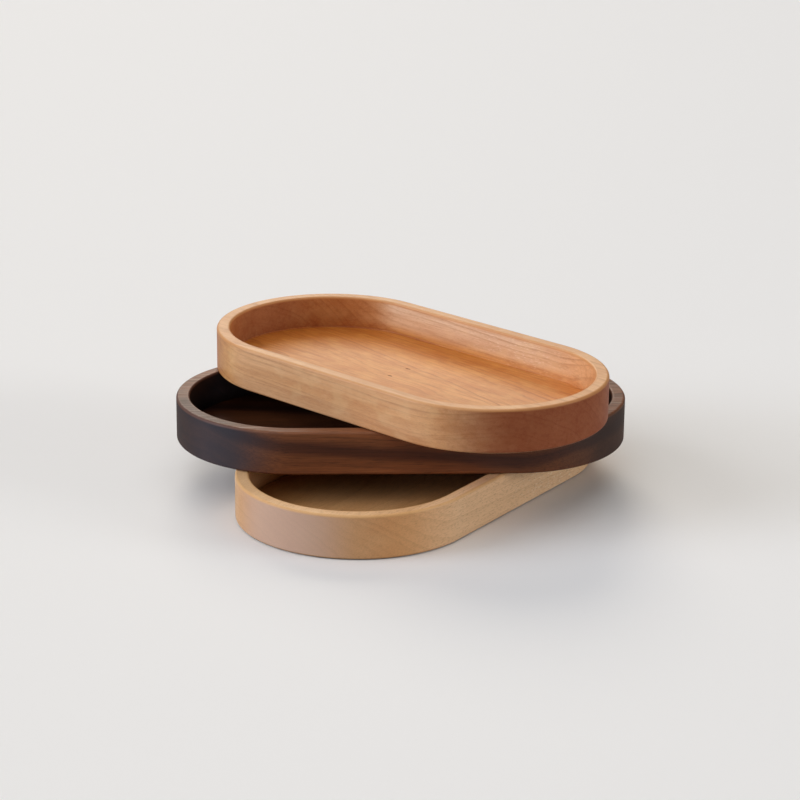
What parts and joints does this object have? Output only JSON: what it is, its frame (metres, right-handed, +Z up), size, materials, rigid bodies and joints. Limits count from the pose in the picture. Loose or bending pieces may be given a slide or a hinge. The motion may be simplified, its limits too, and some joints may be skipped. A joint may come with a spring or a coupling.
{
  "type": "stack of oval wooden trays",
  "caption": "Shallow oval trays milled from solid wood, with flat rims and round ends, fanned in a loose stack; each lifts off the one below.",
  "frame": {"origin": "centre of the base tray's underside, which stands on the table", "axes": "+Z up, +X along the middle tray's length, +Y across the middle tray"},
  "size_m": [0.2, 0.1911, 0.0591],
  "materials": {
    "maple": "satin oil",
    "walnut": "satin oil",
    "cherry": "satin oil"
  },
  "bodies": {
    "base_tray": {"base_tray": "maple"},
    "middle_tray": {"middle_tray": "walnut"},
    "top_tray": {"top_tray": "cherry"}
  },
  "joints": [
    {"name": "middle_tray_lift", "type": "slide", "parent": "base_tray", "child": "middle_tray", "axis": [0, 0, 1], "range_m": [0, 0.06]},
    {"name": "top_tray_lift", "type": "slide", "parent": "middle_tray", "child": "top_tray", "axis": [0, 0, 1], "range_m": [0, 0.06]}
  ]
}
